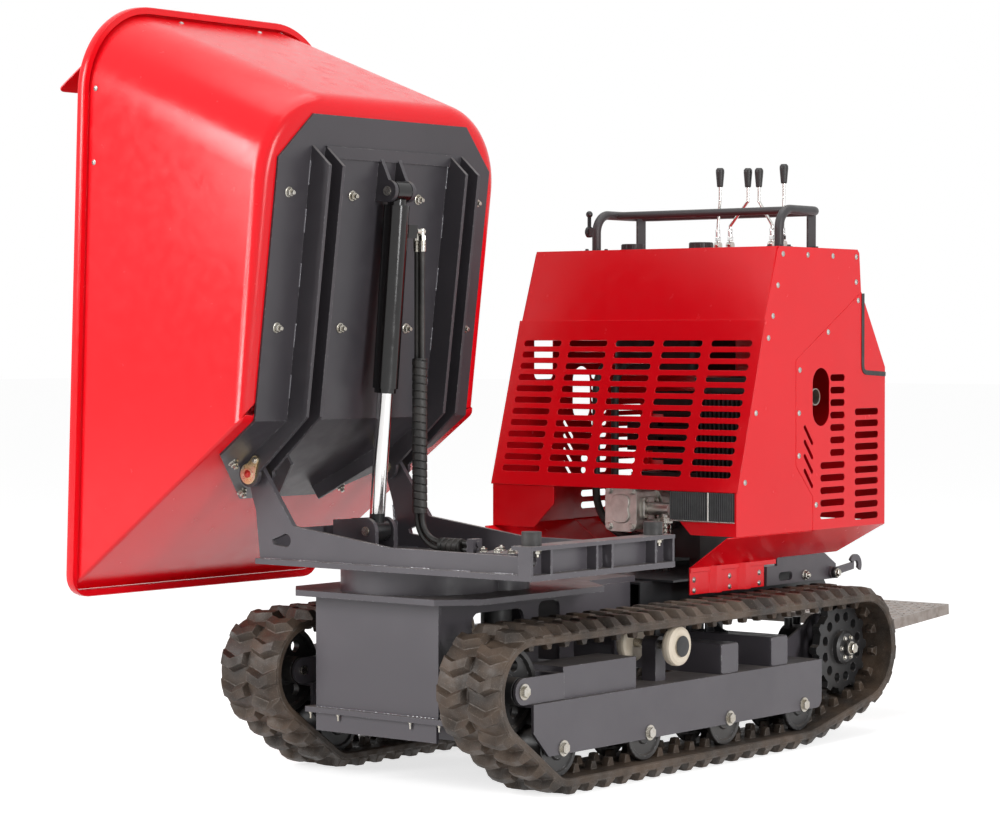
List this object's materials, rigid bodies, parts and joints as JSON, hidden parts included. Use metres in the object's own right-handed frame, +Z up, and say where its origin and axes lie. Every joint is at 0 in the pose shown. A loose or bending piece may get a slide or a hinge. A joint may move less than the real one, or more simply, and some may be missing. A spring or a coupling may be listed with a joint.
{
  "type": "tracked mini dumper",
  "caption": "Walk-behind tracked mini dumper with rubber tracks, a red engine hood, hand levers, a folding operator's step and a skip that slews and tips on a hydraulic cylinder.",
  "frame": {"origin": "on the ground, under the middle of the outline in the drawn pose", "axes": "+Z up, -Y forward along the tracks, +X to the machine's left"},
  "size_m": [1.5015, 2.484, 1.9982],
  "materials": {
    "red_paint": "gloss powder coat",
    "grey_paint": "satin powder coat",
    "black_paint": "satin powder coat",
    "track_rubber": "dusty moulded rubber",
    "buffer_rubber": "moulded rubber",
    "hose_rubber": "smooth hose cover",
    "wheel_steel": "worn satin paint",
    "zinc": "zinc plated",
    "gold_zinc": "yellow zinc plated",
    "chrome": "hard chrome",
    "nylon": "cast nylon",
    "cast_alloy": "as cast",
    "engine_alloy": "black cast alloy",
    "black_plastic": "moulded",
    "lever_chrome": "polished rod with a black knob",
    "tread_plate": "chequered plate"
  },
  "bodies": {
    "carriage": {"chassis": "grey_paint", "rear_frame": "black_paint", "track_frames": "grey_paint", "track_left": "track_rubber", "track_right": "track_rubber", "idler_yokes": "grey_paint", "wheel_axles": "zinc", "drive_motors": "wheel_steel", "slew_guard": "grey_paint", "slew_ring_base": "zinc", "slew_motor": "wheel_steel", "louvre_panel": "red_paint", "side_panels": "red_paint", "vent_covers": "red_paint", "top_panel": "red_paint", "rear_panel": "red_paint", "skirts": "red_paint", "engine": "engine_alloy", "muffler": "zinc", "gear_pump": "cast_alloy", "pump_hoses": "hose_rubber", "fuel_tank": "black_plastic", "hydraulic_tank": "black_plastic", "oil_cooler": "engine_alloy", "valve_block": "cast_alloy", "handlebar": "black_paint"},
    "slew_deck": {"slew_ring": "zinc", "tip_frame": "grey_paint", "buffers": "buffer_rubber", "rod_pin": "zinc", "tip_hoses": "hose_rubber"},
    "skip_body": {"skip": "red_paint", "skip_frame": "grey_paint", "pivot_pins": "gold_zinc", "barrel_pin": "zinc"},
    "tip_barrel": {"cylinder_barrel": "black_paint"},
    "tip_rod": {"cylinder_rod": "chrome"},
    "sprocket_left_body": {"sprocket_left": "wheel_steel"},
    "idler_left_body": {"idler_left": "wheel_steel"},
    "road_wheel_left_1_body": {"road_wheel_left_1": "wheel_steel"},
    "road_wheel_left_2_body": {"road_wheel_left_2": "wheel_steel"},
    "road_wheel_left_3_body": {"road_wheel_left_3": "wheel_steel"},
    "road_wheel_left_4_body": {"road_wheel_left_4": "wheel_steel"},
    "carrier_left_body": {"carrier_left": "nylon"},
    "sprocket_right_body": {"sprocket_right": "wheel_steel"},
    "idler_right_body": {"idler_right": "wheel_steel"},
    "road_wheel_right_1_body": {"road_wheel_right_1": "wheel_steel"},
    "road_wheel_right_2_body": {"road_wheel_right_2": "wheel_steel"},
    "road_wheel_right_3_body": {"road_wheel_right_3": "wheel_steel"},
    "road_wheel_right_4_body": {"road_wheel_right_4": "wheel_steel"},
    "carrier_right_body": {"carrier_right": "nylon"},
    "lever_1_body": {"lever_1": "lever_chrome"},
    "lever_2_body": {"lever_2": "lever_chrome"},
    "lever_3_body": {"lever_3": "lever_chrome"},
    "lever_4_body": {"lever_4": "lever_chrome"},
    "throttle_body": {"throttle_lever": "black_plastic"},
    "fuel_cap_body": {"fuel_cap": "black_plastic"},
    "oil_cap_body": {"oil_cap": "black_plastic"},
    "platform_body": {"platform": "tread_plate"},
    "latch_body": {"platform_latch": "grey_paint"}
  },
  "joints": [
    {"name": "slew_turn", "type": "hinge", "parent": "carriage", "child": "slew_deck", "pos_m": [0.162, -0.769, 0.556], "axis": [0, 0, 1], "range_deg": [0, 180]},
    {"name": "skip_tip", "type": "hinge", "parent": "slew_deck", "child": "skip_body", "pos_m": [-0.158, -0.769, 0.784], "axis": [0, 1, 0], "range_deg": [0, 82.8], "deforming": ["tip_hoses"]},
    {"name": "barrel_swing", "type": "hinge", "parent": "skip_body", "child": "tip_barrel", "pos_m": [0.08605, -0.769, 1.50308], "axis": [0, 1, 0], "range_deg": [0, 2.34]},
    {"name": "rod_slide", "type": "slide", "parent": "tip_barrel", "child": "tip_rod", "axis": [0.0847, 0, 0.9964], "range_m": [0, 0.30022]},
    {"name": "sprocket_left_turn", "type": "hinge", "parent": "carriage", "child": "sprocket_left_body", "pos_m": [0.526, 0.641, 0.248], "axis": [1, 0, 0], "continuous": true},
    {"name": "idler_left_turn", "type": "hinge", "parent": "carriage", "child": "idler_left_body", "pos_m": [0.526, -0.889, 0.27], "axis": [1, 0, 0], "continuous": true},
    {"name": "road_wheel_left_1_turn", "type": "hinge", "parent": "carriage", "child": "road_wheel_left_1_body", "pos_m": [0.526, -0.744, 0.118], "axis": [1, 0, 0], "continuous": true},
    {"name": "road_wheel_left_2_turn", "type": "hinge", "parent": "carriage", "child": "road_wheel_left_2_body", "pos_m": [0.526, -0.381, 0.118], "axis": [1, 0, 0], "continuous": true},
    {"name": "road_wheel_left_3_turn", "type": "hinge", "parent": "carriage", "child": "road_wheel_left_3_body", "pos_m": [0.526, -0.018, 0.118], "axis": [1, 0, 0], "continuous": true},
    {"name": "road_wheel_left_4_turn", "type": "hinge", "parent": "carriage", "child": "road_wheel_left_4_body", "pos_m": [0.526, 0.345, 0.118], "axis": [1, 0, 0], "continuous": true},
    {"name": "carrier_left_turn", "type": "hinge", "parent": "carriage", "child": "carrier_left_body", "pos_m": [0.526, -0.259, 0.3302], "axis": [1, 0, 0], "continuous": true},
    {"name": "sprocket_right_turn", "type": "hinge", "parent": "carriage", "child": "sprocket_right_body", "pos_m": [-0.202, 0.641, 0.248], "axis": [1, 0, 0], "continuous": true},
    {"name": "idler_right_turn", "type": "hinge", "parent": "carriage", "child": "idler_right_body", "pos_m": [-0.202, -0.889, 0.27], "axis": [1, 0, 0], "continuous": true},
    {"name": "road_wheel_right_1_turn", "type": "hinge", "parent": "carriage", "child": "road_wheel_right_1_body", "pos_m": [-0.202, -0.744, 0.118], "axis": [1, 0, 0], "continuous": true},
    {"name": "road_wheel_right_2_turn", "type": "hinge", "parent": "carriage", "child": "road_wheel_right_2_body", "pos_m": [-0.202, -0.381, 0.118], "axis": [1, 0, 0], "continuous": true},
    {"name": "road_wheel_right_3_turn", "type": "hinge", "parent": "carriage", "child": "road_wheel_right_3_body", "pos_m": [-0.202, -0.018, 0.118], "axis": [1, 0, 0], "continuous": true},
    {"name": "road_wheel_right_4_turn", "type": "hinge", "parent": "carriage", "child": "road_wheel_right_4_body", "pos_m": [-0.202, 0.345, 0.118], "axis": [1, 0, 0], "continuous": true},
    {"name": "carrier_right_turn", "type": "hinge", "parent": "carriage", "child": "carrier_right_body", "pos_m": [-0.202, -0.259, 0.3302], "axis": [1, 0, 0], "continuous": true},
    {"name": "lever_1_swing", "type": "hinge", "parent": "carriage", "child": "lever_1_body", "pos_m": [0.164, 0.561, 1.398], "axis": [1, 0, 0], "range_deg": [-18, 18], "stiffness_Nm_per_rad": 6},
    {"name": "lever_2_swing", "type": "hinge", "parent": "carriage", "child": "lever_2_body", "pos_m": [0.207, 0.561, 1.398], "axis": [1, 0, 0], "range_deg": [-18, 18], "stiffness_Nm_per_rad": 6},
    {"name": "lever_3_swing", "type": "hinge", "parent": "carriage", "child": "lever_3_body", "pos_m": [0.351, 0.561, 1.398], "axis": [1, 0, 0], "range_deg": [-18, 18], "stiffness_Nm_per_rad": 6},
    {"name": "lever_4_swing", "type": "hinge", "parent": "carriage", "child": "lever_4_body", "pos_m": [0.388, 0.561, 1.398], "axis": [1, 0, 0], "range_deg": [-18, 18], "stiffness_Nm_per_rad": 6},
    {"name": "throttle_swing", "type": "hinge", "parent": "carriage", "child": "throttle_body", "pos_m": [-0.183, 0.401, 1.44], "axis": [1, 0, 0], "range_deg": [0, 60]},
    {"name": "fuel_cap_turn", "type": "hinge", "parent": "carriage", "child": "fuel_cap_body", "pos_m": [-0.075, 0.471, 1.39], "axis": [0, 0, 1], "range_deg": [0, 90]},
    {"name": "oil_cap_turn", "type": "hinge", "parent": "carriage", "child": "oil_cap_body", "pos_m": [0.167, 0.471, 1.39], "axis": [0, 0, 1], "range_deg": [0, 90]},
    {"name": "platform_fold", "type": "hinge", "parent": "carriage", "child": "platform_body", "pos_m": [0.162, 0.896, 0.3], "axis": [1, 0, 0], "range_deg": [0, 84]},
    {"name": "latch_swing", "type": "hinge", "parent": "carriage", "child": "latch_body", "pos_m": [0.466, 0.707, 0.454], "axis": [1, 0, 0], "range_deg": [0, 40]}
  ],
  "couplings": [
    {"joint": "barrel_swing", "follows": "skip_tip", "ratio": 0.028274},
    {"joint": "rod_slide", "follows": "skip_tip", "m_per_rad": 0.20775},
    {"joint": "idler_left_turn", "follows": "sprocket_left_turn", "ratio": 1.1947},
    {"joint": "road_wheel_left_1_turn", "follows": "sprocket_left_turn", "ratio": 1.8493},
    {"joint": "road_wheel_left_2_turn", "follows": "sprocket_left_turn", "ratio": 1.8493},
    {"joint": "road_wheel_left_3_turn", "follows": "sprocket_left_turn", "ratio": 1.8493},
    {"joint": "road_wheel_left_4_turn", "follows": "sprocket_left_turn", "ratio": 1.8493},
    {"joint": "carrier_left_turn", "follows": "sprocket_left_turn", "ratio": 2.5962},
    {"joint": "idler_right_turn", "follows": "sprocket_right_turn", "ratio": 1.1947},
    {"joint": "road_wheel_right_1_turn", "follows": "sprocket_right_turn", "ratio": 1.8493},
    {"joint": "road_wheel_right_2_turn", "follows": "sprocket_right_turn", "ratio": 1.8493},
    {"joint": "road_wheel_right_3_turn", "follows": "sprocket_right_turn", "ratio": 1.8493},
    {"joint": "road_wheel_right_4_turn", "follows": "sprocket_right_turn", "ratio": 1.8493},
    {"joint": "carrier_right_turn", "follows": "sprocket_right_turn", "ratio": 2.5962}
  ]
}
